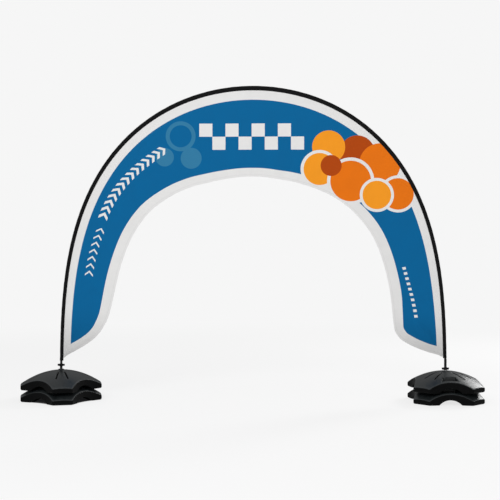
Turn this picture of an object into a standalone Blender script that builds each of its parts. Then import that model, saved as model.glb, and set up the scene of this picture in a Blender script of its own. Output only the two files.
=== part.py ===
"""Finish arch: a printed cloth band sewn to a black sleeve on a bowed pole.

Each foot of the pole stands on a spigot held by two nested four-lobed weights.
Metres, +Z up, +X across the arch, -Y towards the viewer. The floor is z = 0.
"""

from collections import namedtuple
from math import acos, atan2, cos, exp, hypot, pi, radians, sin, sqrt

import bmesh
import bpy
import numpy as np
from mathutils import Matrix, Vector

GAP = 0.0003                # free space kept between neighbouring pieces
MERGE = 0.0001              # points nearer than this are one

# Pole line from foot to foot, x = HALF_SPAN cos(a), z = ARCH_BASE + ARCH_RISE sin(a)^(2 / ARCH_POWER)
HALF_SPAN = 1.921
ARCH_BASE = 0.0475
ARCH_RISE = 3.0815
ARCH_POWER = 3.11

# Pole, a tube of constant size bored at both feet for the spigot pins
POLE_RADIUS = 0.0115
POLE_SIDES = 8
BORE_RADIUS = 0.0076
BORE_DEPTH = 0.068

# Sleeve, a cloth tube round the pole with a flat tail on the inside of the bow
SLEEVE_RADIUS = 0.0137
SLEEVE_CLOTH = 0.0012
SLEEVE_STEPS = 8            # straight steps round the pole
TAIL_THICKNESS = 0.0032
SLEEVE_END_LEFT = 3.781     # arc length from the top of the arch
SLEEVE_END_RIGHT = 3.749

# Banner cloth
CLOTH = 0.0015
BANNER_COLUMNS = 8
STATION_LONG = 0.13         # spacing of stations along the pole
STATION_SHORT = 0.06        # spacing near the lower corners
SHORT_FROM = 3.17
TIP_LEFT = 3.752
TIP_RIGHT = 3.735

Sleeve = namedtuple("Sleeve", "arc tail")
SLEEVE_TAILS = (            # arc length from the top, tail's reach from the pole's axis
    Sleeve(0.0, 0.032),
    Sleeve(1.5, 0.028),
    Sleeve(2.8, 0.0240),
    Sleeve(3.8, 0.0215),
)

Width = namedtuple("Width", "arc left right")
WIDTHS = (                  # pole's axis to the free edge, left and right leg
    Width(0.00, 0.894, 0.894),
    Width(0.40, 0.886, 0.890),
    Width(0.80, 0.856, 0.858),
    Width(1.20, 0.791, 0.802),
    Width(1.60, 0.710, 0.722),
    Width(2.00, 0.620, 0.636),
    Width(2.40, 0.558, 0.564),
    Width(2.80, 0.521, 0.527),
    Width(3.10, 0.498, 0.510),
    Width(3.30, 0.466, 0.507),
    Width(3.44, 0.410, 0.497),
    Width(3.54, 0.338, 0.446),
    Width(3.62, 0.240, 0.328),
    Width(3.68, 0.142, 0.190),
    Width(3.73, 0.056, 0.040),
    Width(3.76, 0.022, 0.020),
)

Wave = namedtuple("Wave", "arc height length")
WAVES = (                   # slow waves of the free edge towards +Y; arc is negative on the left
    Wave(-3.15, -0.012, 0.30),
    Wave(-2.45, 0.010, 0.38),
    Wave(-1.60, -0.009, 0.42),
    Wave(-0.70, 0.008, 0.45),
    Wave(0.35, -0.010, 0.50),
    Wave(1.30, 0.009, 0.40),
    Wave(2.20, -0.008, 0.42),
    Wave(3.05, 0.013, 0.33),
)

Fold = namedtuple("Fold", "arc_a depth_a arc_b depth_b height half_width")
FOLDS = (                   # soft folds at the lower corners, from a to b on the cloth
    Fold(-3.70, 0.05, -3.46, 0.34, -0.014, 0.045),
    Fold(-3.60, 0.06, -3.20, 0.24, 0.008, 0.060),
    Fold(3.66, 0.07, 3.36, 0.27, -0.012, 0.050),
    Fold(3.70, 0.08, 3.52, 0.38, 0.010, 0.045),
)

# Weights, a dome z = WEIGHT_HEIGHT - DOME_FALL r^2 with four lobes
WEIGHT_HEIGHT = 0.185
DOME_FALL = 0.852
STACK_PITCH = 0.115
LOBE_REACH = 0.398
LOBE_HALF_WIDTH = 0.0975
BITE_REACH = 0.306          # axis to the middle of the bite between two lobes
BITE_STEPS = 6
DOME_STEPS = 36
DOME_RINGS = 5
DOME_EDGE = 0.50
HOLE_RADIUS = 0.0140
NOTCH_WIDTH = 0.220
NOTCH_HEIGHT = 0.048
BOSS_RADIUS = 0.034
BOSS_HEIGHT = 0.008
BOSS_SLOPE = 0.006           # how far the boss widens from its top to the dome
DOME_FOOT = -0.05           # flat bottom of the uncut dome, below the floor
PLAN_HEIGHT = 0.8           # height of the lobed block that trims the dome
LEFT_TURN = radians(13.5)   # left stack turns a lobe to the viewer, right stack a bite
RIGHT_TURN = radians(45.0)

# Two shallow grooves on each lobe
GROOVE_INNER = Vector((0.100, 0.028))
GROOVE_OUTER = Vector((0.260, 0.058))
GROOVE_WIDTH = 0.009
GROOVE_DEPTH = 0.003        # at its ends; deeper in the middle, where the dome rises over it

# Moulded recess behind two opposite bites of the right weights
RECESS_INNER = 0.206
RECESS_OUTER = 0.277
RECESS_INNER_HALF = 0.058
RECESS_OUTER_HALF = 0.081
RECESS_FLOOR = 0.090
CUTTER_HEIGHT = 0.12         # how far the cutters of grooves and recesses stand up

# Spigots: a stud through both weights and a pin up into the pole
STUD_RADIUS = 0.0133
STUD_FOOT = 0.060
PIN_RADIUS = 0.0070
PIN_LENGTH = 0.060
LEFT_SHOULDER = 0.361
RIGHT_SHOULDER = 0.417
WASHER_RADIUS = 0.0190
WASHER_HEIGHT = 0.007

# Wing nuts
NUT_HUB_RADIUS = 0.0180
NUT_HEIGHT = 0.025
NUT_HOLE = 0.0140
WING_ROOT = 0.015            # wings start inside the hub at this distance from its axis
WING_REACH = 0.036
WING_THICKNESS = 0.008
WING_ROOT_TOP = 0.0100
WING_ROOT_BOTTOM = -0.0105
WING_TIP_TOP = 0.0120
WING_TIP_BOTTOM = -0.0085
ROUND_SIDES = 24
PIN_CHAMFER = 0.0015
THROUGH = 1.0               # length of a cutter that goes right through a piece

STACK_TOP = STACK_PITCH + WEIGHT_HEIGHT
UP = Vector((0.0, 0.0, 1.0))


def stack_reach(turn):
    """Reach of a turned weight along X."""
    return LOBE_REACH * cos(turn) + LOBE_HALF_WIDTH * sin(turn)


# Middle of the arch; x = 0 is midway between the outermost lobes
MIDDLE_X = (stack_reach(LEFT_TURN) - stack_reach(RIGHT_TURN)) / 2.0


def clear_scene():
    for obj in list(bpy.data.objects):
        bpy.data.objects.remove(obj, do_unlink=True)


def new_collection(name):
    collection = bpy.data.collections.new(name)
    bpy.context.scene.collection.children.link(collection)
    return collection


def new_material(name, colour, roughness, metallic=0.0):
    material = bpy.data.materials.new(name)
    material.use_nodes = True
    shader = material.node_tree.nodes["Principled BSDF"]
    shader.inputs["Base Color"].default_value = (*colour, 1.0)
    shader.inputs["Roughness"].default_value = roughness
    shader.inputs["Metallic"].default_value = metallic
    return material


def add_object(collection, name, data, material=None):
    obj = bpy.data.objects.new(name, data)
    collection.objects.link(obj)
    if material is not None:
        data.materials.clear()
        data.materials.append(material)
    return obj


def as_cutter(obj):
    obj.hide_render = True
    obj.display_type = "WIRE"
    return obj


def boolean(obj, cutter, operation):
    modifier = obj.modifiers.new(f"{operation} {cutter.name}", "BOOLEAN")
    modifier.operation = operation
    modifier.solver = "EXACT"
    modifier.object = cutter


def evaluated_mesh(obj):
    """Mesh of an object after its modifiers, in its own space."""
    graph = bpy.context.evaluated_depsgraph_get()
    return bpy.data.meshes.new_from_object(obj.evaluated_get(graph), depsgraph=graph)


def curve_as_mesh(obj, collection):
    """Replace a curve object by a closed mesh object of the same name."""
    mesh = evaluated_mesh(obj)
    work = bmesh.new()
    work.from_mesh(mesh)
    bmesh.ops.remove_doubles(work, verts=work.verts, dist=MERGE)
    bmesh.ops.recalc_face_normals(work, faces=work.faces)
    work.to_mesh(mesh)
    work.free()
    name = obj.name
    matrix = obj.matrix_world.copy()
    bpy.data.objects.remove(obj, do_unlink=True)
    solid = add_object(collection, name, mesh)
    solid.matrix_world = matrix
    return solid


def smooth(mesh, angle=35.0):
    mesh.shade_smooth()
    mesh.set_sharp_from_angle(angle=radians(angle))


def turned(collection, name, profile, steps):
    """Solid turned about Z from a profile of (radius, height), top to bottom."""
    mesh = bpy.data.meshes.new(name)
    points = [(radius, 0.0, height) for radius, height in profile]
    edges = [(i, i + 1) for i in range(len(points) - 1)]
    mesh.from_pydata(points, edges, [])
    obj = add_object(collection, name, mesh)
    screw = obj.modifiers.new("Turn", "SCREW")
    screw.steps = steps
    screw.render_steps = steps
    screw.use_merge_vertices = True
    screw.merge_threshold = MERGE
    screw.use_smooth_shade = True
    return obj


def extruded(collection, name, outline, thickness):
    """Flat plate of a closed outline in XY, centred on z = 0."""
    curve = bpy.data.curves.new(name, "CURVE")
    curve.dimensions = "2D"
    curve.fill_mode = "BOTH"
    curve.extrude = thickness / 2.0
    spline = curve.splines.new("POLY")
    spline.points.add(len(outline) - 1)
    for point, (x, y) in zip(spline.points, outline):
        point.co = (x, y, 0.0, 1.0)
    spline.use_cyclic_u = True
    obj = add_object(collection, name, curve)
    bpy.context.view_layer.update()
    return curve_as_mesh(obj, collection)


def cylinder(collection, name, radius, length, matrix):
    """Closed cylinder along the matrix's Z, centred on its origin."""
    mesh = bpy.data.meshes.new(name)
    work = bmesh.new()
    bmesh.ops.create_cone(
        work, cap_ends=True, segments=ROUND_SIDES, radius1=radius, radius2=radius, depth=length
    )
    work.to_mesh(mesh)
    work.free()
    obj = add_object(collection, name, mesh)
    obj.matrix_world = matrix
    return obj


def smooth_table(arc, arcs, values):
    """Read a table at arc with a cubic that never overshoots its rows."""
    arcs = np.asarray(arcs)
    values = np.asarray(values)
    steps = np.diff(arcs)
    slopes = np.diff(values) / steps
    turns = slopes[:-1] * slopes[1:]
    inner = np.where(turns > 0.0, 2.0 * turns / np.where(turns > 0.0, slopes[:-1] + slopes[1:], 1.0), 0.0)
    tangents = np.concatenate(([slopes[0] * 0.2], inner, [slopes[-1]]))
    row = int(np.clip(np.searchsorted(arcs, arc) - 1, 0, len(steps) - 1))
    t = (arc - arcs[row]) / steps[row]
    rise = values[row + 1] - values[row]
    start = tangents[row] * steps[row]
    end = tangents[row + 1] * steps[row]
    square = 3.0 * rise - 2.0 * start - end
    cube = start + end - 2.0 * rise
    return values[row] + t * (start + t * (square + t * cube))


class PoleLine:
    """Axis of the pole, read by arc length from the top; negative arcs are the left leg."""

    SAMPLES = 6000

    def __init__(self):
        angles = np.linspace(pi / 2.0, 0.0001, self.SAMPLES)
        self.x = HALF_SPAN * np.cos(angles)
        self.z = ARCH_BASE + ARCH_RISE * np.sin(angles) ** (2.0 / ARCH_POWER)
        pieces = np.hypot(np.diff(self.x), np.diff(self.z))
        self.arc = np.concatenate(([0.0], np.cumsum(pieces)))
        self.tangent_x = np.gradient(self.x, self.arc)
        self.tangent_z = np.gradient(self.z, self.arc)

    def at(self, arc):
        """Point on the axis and the unit direction towards the inside of the bow."""
        side = -1.0 if arc < 0.0 else 1.0
        along = abs(arc)
        x, z, tangent_x, tangent_z = (
            float(np.interp(along, self.arc, values))
            for values in (self.x, self.z, self.tangent_x, self.tangent_z)
        )
        length = hypot(tangent_x, tangent_z)
        point = Vector((MIDDLE_X + side * x, 0.0, z))
        inward = Vector((side * tangent_z / length, 0.0, -tangent_x / length))
        return point, inward

    def arc_at_height(self, height):
        return float(np.interp(-height, -self.z, self.arc))


def stations(line_end_left, line_end_right):
    """Arc lengths of the sections from the left end to the right end, closer near the feet."""
    count = round(SHORT_FROM / STATION_LONG)
    middle = np.linspace(-SHORT_FROM, SHORT_FROM, 2 * count + 1)
    left = np.linspace(-line_end_left, -SHORT_FROM, round((line_end_left - SHORT_FROM) / STATION_SHORT) + 1)
    right = np.linspace(SHORT_FROM, line_end_right, round((line_end_right - SHORT_FROM) / STATION_SHORT) + 1)
    return [*left[:-1], *middle, *right[1:]]


def shared_stations():
    """Stations of the banner, which the sleeve and the pole repeat so that their steps match."""
    return stations(TIP_LEFT, TIP_RIGHT)


def tail_reach(arc):
    rows = SLEEVE_TAILS
    return smooth_table(abs(arc), [row.arc for row in rows], [row.tail for row in rows])


def cloth_width(arc):
    values = [row.left if arc < 0.0 else row.right for row in WIDTHS]
    return smooth_table(abs(arc), [row.arc for row in WIDTHS], values)


def fold_height(fold, arc, depth):
    """Height of one fold at a place on the cloth, fading out at its two ends."""
    run = Vector((fold.arc_b - fold.arc_a, fold.depth_b - fold.depth_a))
    place = Vector((arc - fold.arc_a, depth - fold.depth_a))
    along = place.dot(run) / run.length_squared
    across = (place.x * run.y - place.y * run.x) / run.length
    fade = max(0.0, 1.0 - (2.0 * along - 1.0) ** 4) if 0.0 < along < 1.0 else 0.0
    return fold.height * fade * exp(-((across / fold.half_width) ** 2))


def cloth_offset(arc, depth, width):
    """How far the cloth stands off the plane of the pole, towards +Y."""
    share = depth / width
    edge = share * share * (3.0 - 2.0 * share)
    wave = sum(row.height * exp(-(((arc - row.arc) / row.length) ** 2)) for row in WAVES)
    folds = sum(fold_height(row, arc, depth) for row in FOLDS)
    return edge * (wave + folds)


def make_banner(collection, line, material):
    """Banner sheet: an open grid on the arch given its thickness by Solidify."""
    mesh = bpy.data.meshes.new("banner")
    work = bmesh.new()
    rows = []
    for arc in shared_stations():
        point, inward = line.at(arc)
        start = tail_reach(arc) + GAP
        width = cloth_width(arc)
        row = []
        for column in range(BANNER_COLUMNS + 1):
            depth = start + (width - start) * column / BANNER_COLUMNS
            offset = cloth_offset(arc, depth, width)
            row.append(work.verts.new(point + inward * depth + Vector((0.0, offset, 0.0))))
        rows.append(row)
    for near, far in zip(rows, rows[1:]):
        for i in range(BANNER_COLUMNS):
            work.faces.new((near[i], near[i + 1], far[i + 1], far[i]))
    work.to_mesh(mesh)
    work.free()
    smooth(mesh)
    obj = add_object(collection, "banner", mesh, material)
    solid = obj.modifiers.new("Cloth", "SOLIDIFY")
    solid.thickness = CLOTH
    solid.offset = 0.0
    return obj


def sleeve_ring(point, inward, tail, radius, tail_half, tail_end):
    """Section of the sleeve: round the pole, then straight to a flat tail."""
    lean = acos(min(1.0, radius / tail))
    turn = (2.0 * pi - 2.0 * lean) / SLEEVE_STEPS
    side = Vector((0.0, 1.0, 0.0))
    ring = []
    for step in range(SLEEVE_STEPS + 1):
        angle = lean + turn * step
        ring.append(point + inward * (radius * cos(angle)) + side * (radius * sin(angle)))
    ring.append(point + inward * tail_end - side * tail_half)
    ring.append(point + inward * tail_end + side * tail_half)
    return ring


def make_sleeve(collection, line, material):
    """Sleeve: an outer and an inner skin joined round both open ends."""
    arcs = [-SLEEVE_END_LEFT, *shared_stations(), SLEEVE_END_RIGHT]
    slit_half = TAIL_THICKNESS / 2.0 - SLEEVE_CLOTH
    outer = []
    inner = []
    for arc in arcs:
        point, inward = line.at(arc)
        tail = tail_reach(arc)
        outer.append(sleeve_ring(point, inward, tail, SLEEVE_RADIUS, TAIL_THICKNESS / 2.0, tail))
        inner.append(
            sleeve_ring(
                point, inward, tail, SLEEVE_RADIUS - SLEEVE_CLOTH, slit_half, tail - SLEEVE_CLOTH
            )
        )
    loops = [*outer, *reversed(inner)]
    count = len(loops[0])
    mesh = bpy.data.meshes.new("pole_sleeve")
    work = bmesh.new()
    rows = [[work.verts.new(place) for place in loop] for loop in loops]
    for near, far in zip(rows, [*rows[1:], rows[0]]):
        for i in range(count):
            j = (i + 1) % count
            work.faces.new((near[i], near[j], far[j], far[i]))
    bmesh.ops.recalc_face_normals(work, faces=work.faces)
    work.to_mesh(mesh)
    work.free()
    smooth(mesh)
    return add_object(collection, "pole_sleeve", mesh, material)


def make_pole(collection, cutters, line, material):
    """Pole: one bent tube from shoulder to shoulder, bored at both feet."""
    left_end = line.arc_at_height(LEFT_SHOULDER + GAP)
    right_end = line.arc_at_height(RIGHT_SHOULDER + GAP)
    arcs = [-left_end, *shared_stations(), right_end]
    curve = bpy.data.curves.new("pole", "CURVE")
    curve.dimensions = "3D"
    curve.bevel_depth = POLE_RADIUS
    curve.bevel_resolution = POLE_SIDES // 4
    curve.use_fill_caps = True
    spline = curve.splines.new("POLY")
    spline.points.add(len(arcs) - 1)
    for target, arc in zip(spline.points, arcs):
        target.co = (*line.at(arc)[0], 1.0)
    obj = add_object(collection, "pole", curve)
    bpy.context.view_layer.update()
    pole = curve_as_mesh(obj, collection)
    pole.data.materials.append(material)
    smooth(pole.data)
    for name, x, shoulder in (
        ("left_bore", -HALF_SPAN, LEFT_SHOULDER),
        ("right_bore", HALF_SPAN, RIGHT_SHOULDER),
    ):
        foot = Matrix.Translation((MIDDLE_X + x, 0.0, shoulder))
        bore = cylinder(cutters, name, BORE_RADIUS, 2.0 * BORE_DEPTH, foot)
        boolean(pole, as_cutter(bore), "DIFFERENCE")
    return pole


def dome_height(radius):
    return WEIGHT_HEIGHT - DOME_FALL * radius * radius


def dome_profile(boss, shift=0.0):
    """Profile of the dome from its top down to a flat foot below the floor."""
    rows = []
    if boss:
        rows.append((0.0, WEIGHT_HEIGHT + BOSS_HEIGHT))
        rows.append((BOSS_RADIUS - BOSS_SLOPE, WEIGHT_HEIGHT + BOSS_HEIGHT))
        rows.append((BOSS_RADIUS, dome_height(BOSS_RADIUS)))
    else:
        rows.append((0.0, WEIGHT_HEIGHT))
        rows.append((BOSS_RADIUS, dome_height(BOSS_RADIUS)))
    for ring in range(1, DOME_RINGS + 1):
        radius = BOSS_RADIUS + (DOME_EDGE - BOSS_RADIUS) * ring / DOME_RINGS
        rows.append((radius, dome_height(radius)))
    rows = [(radius, height + shift) for radius, height in rows]
    rows.append((DOME_EDGE, DOME_FOOT + min(0.0, rows[-1][1])))
    rows.append((0.0, rows[-1][1]))
    return rows


def weight_outline():
    """Plan of a weight: four flat lobe ends with a round bite between each two."""
    corner_along = (LOBE_REACH + LOBE_HALF_WIDTH) / sqrt(2.0)
    corner_across = (LOBE_REACH - LOBE_HALF_WIDTH) / sqrt(2.0)
    reach = corner_along - BITE_REACH
    bite_radius = (reach * reach + corner_across * corner_across) / (2.0 * reach)
    bite_centre = BITE_REACH + bite_radius
    swing = atan2(corner_across, bite_centre - corner_along)
    points = []
    for quarter in range(4):
        axis = radians(45.0 + 90.0 * quarter)
        for step in range(BITE_STEPS + 1):
            angle = -swing + 2.0 * swing * step / BITE_STEPS
            along = bite_centre - bite_radius * cos(angle)
            across = bite_radius * sin(angle)
            points.append(
                (along * cos(axis) - across * sin(axis), along * sin(axis) + across * cos(axis))
            )
    return points


def make_notches(cutters):
    """Two crossing tunnels that leave a low arch under each bite."""
    radius = (NOTCH_WIDTH**2 / 4.0 + NOTCH_HEIGHT**2) / (2.0 * NOTCH_HEIGHT)
    notches = []
    for index, angle in enumerate((45.0, 135.0)):
        place = Matrix.Translation((0.0, 0.0, NOTCH_HEIGHT - radius))
        matrix = place @ Matrix.Rotation(radians(angle), 4, "Z") @ Matrix.Rotation(pi / 2.0, 4, "Y")
        notches.append(cylinder(cutters, f"notch_{index}", radius, THROUGH, matrix))
    return notches


def make_grooves(cutters):
    """Cutter of eight thin bars, two along each lobe, diverging outwards."""
    mesh = bpy.data.meshes.new("grooves")
    work = bmesh.new()
    inner = Vector((*GROOVE_INNER, dome_height(GROOVE_INNER.length) - GROOVE_DEPTH))
    outer = Vector((*GROOVE_OUTER, dome_height(GROOVE_OUTER.length) - GROOVE_DEPTH))
    for quarter in range(4):
        for side in (-1.0, 1.0):
            a = Vector((inner.x, inner.y * side, inner.z))
            b = Vector((outer.x, outer.y * side, outer.z))
            along = (b - a).normalized()
            across = UP.cross(along).normalized()
            normal = along.cross(across)
            axes = Matrix((along, across, normal)).transposed().to_4x4()
            middle = (a + b) / 2.0 + normal * (CUTTER_HEIGHT / 2.0)
            size = Matrix.Diagonal(((b - a).length, GROOVE_WIDTH, CUTTER_HEIGHT, 1.0))
            turn = Matrix.Rotation(quarter * pi / 2.0, 4, "Z")
            bmesh.ops.create_cube(work, size=1.0, matrix=turn @ Matrix.Translation(middle) @ axes @ size)
    work.to_mesh(mesh)
    work.free()
    return add_object(cutters, "grooves", mesh)


def make_recesses(cutters):
    """Cutters of the trapezoid recesses behind two opposite bites."""
    recesses = []
    for index, angle in enumerate((45.0, 225.0)):
        outline = (
            (RECESS_INNER, -RECESS_INNER_HALF),
            (RECESS_OUTER, -RECESS_OUTER_HALF),
            (RECESS_OUTER, RECESS_OUTER_HALF),
            (RECESS_INNER, RECESS_INNER_HALF),
        )
        recess = extruded(cutters, f"recess_{index}", outline, CUTTER_HEIGHT)
        turn = Matrix.Rotation(radians(angle), 4, "Z")
        lift = RECESS_FLOOR + CUTTER_HEIGHT / 2.0
        recess.matrix_world = turn @ Matrix.Translation((0.0, 0.0, lift))
        recesses.append(recess)
    return recesses


def weight_mesh(cutters, name, boss, recessed):
    """One weight: the dome cut to the lobed plan, hollowed below to nest on the next."""
    solid = turned(cutters, name, dome_profile(boss), DOME_STEPS)
    plan = extruded(cutters, f"{name}_plan", weight_outline(), PLAN_HEIGHT)
    plan.matrix_world = Matrix.Translation((0.0, 0.0, PLAN_HEIGHT / 2.0))
    nest = turned(cutters, f"{name}_nest", dome_profile(boss, GAP - STACK_PITCH), DOME_STEPS)
    hole = cylinder(cutters, f"{name}_hole", HOLE_RADIUS, THROUGH, Matrix.Identity(4))
    boolean(solid, as_cutter(plan), "INTERSECT")
    pieces = [nest, hole, *make_notches(cutters), make_grooves(cutters)]
    if recessed:
        pieces.extend(make_recesses(cutters))
    for piece in pieces:
        boolean(solid, as_cutter(piece), "DIFFERENCE")
    bpy.context.view_layer.update()
    mesh = evaluated_mesh(solid)
    mesh.name = name
    smooth(mesh)
    for obj in (solid, plan, *pieces):
        bpy.data.objects.remove(obj, do_unlink=True)
    return mesh


def make_weights(collection, cutters, material):
    stacks = (
        ("left", -HALF_SPAN, LEFT_TURN, weight_mesh(cutters, "weight_plain", True, False)),
        ("right", HALF_SPAN, RIGHT_TURN, weight_mesh(cutters, "weight_recessed", False, True)),
    )
    for side, x, turn, mesh in stacks:
        for level, height in (("lower", 0.0), ("upper", STACK_PITCH)):
            obj = add_object(collection, f"{side}_weight_{level}", mesh, material)
            place = Matrix.Translation((MIDDLE_X + x, 0.0, height))
            obj.matrix_world = place @ Matrix.Rotation(turn, 4, "Z")


def make_spigot(collection, name, x, shoulder, material):
    """Stud with a shoulder that carries the pole and a pin that fills its bore."""
    tip = shoulder + PIN_LENGTH
    profile = (
        (0.0, tip),
        (PIN_RADIUS - PIN_CHAMFER, tip),
        (PIN_RADIUS, tip - PIN_CHAMFER),
        (PIN_RADIUS, shoulder),
        (STUD_RADIUS, shoulder),
        (STUD_RADIUS, STUD_FOOT),
        (0.0, STUD_FOOT),
    )
    obj = turned(collection, name, profile, ROUND_SIDES)
    obj.location.x = MIDDLE_X + x
    obj.data.materials.append(material)
    return obj


def ring_profile(inner, outer, bottom, top):
    """Closed profile of a flat ring, down its outer side and back up its hole."""
    return ((inner, top), (outer, top), (outer, bottom), (inner, bottom), (inner, top))


def make_washer(collection, material):
    profile = ring_profile(NUT_HOLE, WASHER_RADIUS, STACK_TOP + GAP, STACK_TOP + GAP + WASHER_HEIGHT)
    obj = turned(collection, "right_spigot_washer", profile, ROUND_SIDES)
    obj.location.x = MIDDLE_X + HALF_SPAN
    obj.data.materials.append(material)
    return obj


def make_wing_nut(collection, cutters, name, x, bottom, material):
    """Round hub with two wings that taper to their tips."""
    half = NUT_HEIGHT / 2.0
    hub_profile = ((0.0, half), (NUT_HUB_RADIUS, half), (NUT_HUB_RADIUS, -half), (0.0, -half))
    nut = turned(collection, name, hub_profile, ROUND_SIDES)
    right_side = (
        (WING_ROOT, WING_ROOT_BOTTOM),
        (WING_REACH, WING_TIP_BOTTOM),
        (WING_REACH, WING_TIP_TOP),
        (WING_ROOT, WING_ROOT_TOP),
    )
    outline = (*right_side, *((-along, height) for along, height in reversed(right_side)))
    wings = extruded(cutters, f"{name}_wings", outline, WING_THICKNESS)
    wings.matrix_world = Matrix.Rotation(pi / 2.0, 4, "X")
    hole = cylinder(cutters, f"{name}_hole", NUT_HOLE, THROUGH, Matrix.Identity(4))
    boolean(nut, as_cutter(wings), "UNION")
    boolean(nut, as_cutter(hole), "DIFFERENCE")
    place = Vector((MIDDLE_X + x, 0.0, bottom + half))
    for obj in (nut, wings, hole):
        obj.location = place
    nut.data.materials.append(material)
    return nut


def build():
    clear_scene()
    arch = new_collection("finish_arch")
    cutters = new_collection("cutters")
    line = PoleLine()

    printed = new_material("printed_cloth", (0.006, 0.123, 0.309), 0.75)
    nylon = new_material("sleeve_cloth", (0.010, 0.010, 0.011), 0.70)
    tube = new_material("pole_tube", (0.008, 0.008, 0.009), 0.35)
    plastic = new_material("weight_plastic", (0.036, 0.040, 0.044), 0.50)
    dark_steel = new_material("dark_steel", (0.015, 0.015, 0.016), 0.40, 0.6)
    nut_plastic = new_material("nut_plastic", (0.010, 0.010, 0.011), 0.45)
    zinc = new_material("zinc_steel", (0.62, 0.63, 0.64), 0.30, 1.0)

    make_banner(arch, line, printed)
    make_sleeve(arch, line, nylon)
    make_pole(arch, cutters, line, tube)
    make_weights(arch, cutters, plastic)
    make_spigot(arch, "left_spigot", -HALF_SPAN, LEFT_SHOULDER, dark_steel)
    make_spigot(arch, "right_spigot", HALF_SPAN, RIGHT_SHOULDER, dark_steel)
    make_washer(arch, zinc)
    left_nut = LEFT_SHOULDER - GAP - NUT_HEIGHT
    right_nut = STACK_TOP + 2.0 * GAP + WASHER_HEIGHT
    make_wing_nut(arch, cutters, "left_wing_nut", -HALF_SPAN, left_nut, nut_plastic)
    make_wing_nut(arch, cutters, "right_wing_nut", HALF_SPAN, right_nut, nut_plastic)


build()
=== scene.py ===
"""Looks of the finish arch: printed cloth, sleeve, pole, spigots and moulded weights.

Metres, +Z up, +X across the arch, -Y towards the viewer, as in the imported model.
Places on the cloth are (arc, depth): arc length of the pole from the top of the arch,
negative on the left leg, and distance from the pole's axis towards the inside of the bow.
"""

from collections import namedtuple
from math import cos, hypot, pi, radians, sin

import bpy
import numpy as np
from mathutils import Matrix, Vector, kdtree


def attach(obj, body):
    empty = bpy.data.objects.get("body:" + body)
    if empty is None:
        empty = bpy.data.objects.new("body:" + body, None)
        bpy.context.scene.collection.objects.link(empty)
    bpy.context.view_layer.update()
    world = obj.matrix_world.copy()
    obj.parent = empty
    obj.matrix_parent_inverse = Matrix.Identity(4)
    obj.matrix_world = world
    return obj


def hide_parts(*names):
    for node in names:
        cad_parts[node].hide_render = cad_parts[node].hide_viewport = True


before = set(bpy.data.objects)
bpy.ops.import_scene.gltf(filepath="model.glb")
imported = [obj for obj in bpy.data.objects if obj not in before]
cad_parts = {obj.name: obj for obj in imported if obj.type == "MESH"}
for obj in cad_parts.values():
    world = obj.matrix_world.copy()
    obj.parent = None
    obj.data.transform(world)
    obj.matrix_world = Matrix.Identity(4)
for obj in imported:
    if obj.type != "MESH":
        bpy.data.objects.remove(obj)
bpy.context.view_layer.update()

GAP = 0.0003
BODY = "root"

# Pole line from foot to foot, x = HALF_SPAN cos(a), z = ARCH_BASE + ARCH_RISE sin(a)^(2 / ARCH_POWER)
HALF_SPAN = 1.921
ARCH_BASE = 0.0475
ARCH_RISE = 3.0815
ARCH_POWER = 3.11

# Sleeve and pole
POLE_RADIUS = 0.0115
BORE_RADIUS = 0.0076
BORE_DEPTH = 0.068
SLEEVE_RADIUS = 0.0137
SLEEVE_CLOTH = 0.0012
TAIL_THICKNESS = 0.0032
SLEEVE_END_LEFT = 3.781
SLEEVE_END_RIGHT = 3.749
SLEEVE_HEM = 0.022
SLEEVE_PITCH = 0.012        # spacing of the sleeve's sections
SLEEVE_FLAT_STEPS = 5       # steps down one side of the tail
SLEEVE_ROUND_STEPS = 18     # steps round the pole
SEAM_INSET = 0.0045         # line of stitches from the tail's edge
POLE_PITCH = 0.030
POLE_SIDES = 28
POLE_CHAMFER = 0.0012
POINT = 0.0004              # radius at which a turned end is closed with a cap

Sleeve = namedtuple("Sleeve", "arc tail")
SLEEVE_TAILS = (
    Sleeve(0.0, 0.032),
    Sleeve(1.5, 0.028),
    Sleeve(2.8, 0.0240),
    Sleeve(3.8, 0.0215),
)

# Banner
CLOTH = 0.0013
HEM_WIDTH = 0.022
HEM_RISE = 0.0009           # what the folded hem adds to the cloth's thickness
HEM_SOFT = 0.0015
TIP_LEFT = 3.752
TIP_RIGHT = 3.735
BANNER_PITCH = 0.015        # spacing of the banner's sections along the pole
BANNER_MIDDLE_LINES = 44
SEAM_LINES = (0.0, 0.004, 0.010, 0.018)
HEM_LINES = (0.034, 0.027, 0.0235, 0.0205, 0.015, 0.008, 0.003, 0.0010, 0.0)
MAP_ROWS = 3                # rows of the unrolled map, one above the other
MAP_ROW_HEIGHT = 0.91

Width = namedtuple("Width", "arc left right")
WIDTHS = (                  # pole's axis to the free edge
    Width(0.00, 0.894, 0.894),
    Width(0.40, 0.886, 0.890),
    Width(0.80, 0.856, 0.858),
    Width(1.20, 0.791, 0.802),
    Width(1.60, 0.710, 0.722),
    Width(2.00, 0.620, 0.636),
    Width(2.40, 0.558, 0.564),
    Width(2.80, 0.521, 0.527),
    Width(3.10, 0.498, 0.510),
    Width(3.30, 0.466, 0.507),
    Width(3.44, 0.410, 0.497),
    Width(3.54, 0.338, 0.446),
    Width(3.62, 0.240, 0.328),
    Width(3.68, 0.142, 0.190),
    Width(3.73, 0.056, 0.040),
    Width(3.76, 0.022, 0.020),
)

Wave = namedtuple("Wave", "arc height length")
WAVES = (
    Wave(-3.15, -0.012, 0.30),
    Wave(-2.45, 0.010, 0.38),
    Wave(-1.60, -0.009, 0.42),
    Wave(-0.70, 0.008, 0.45),
    Wave(0.35, -0.010, 0.50),
    Wave(1.30, 0.009, 0.40),
    Wave(2.20, -0.008, 0.42),
    Wave(3.05, 0.013, 0.33),
)

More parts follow.
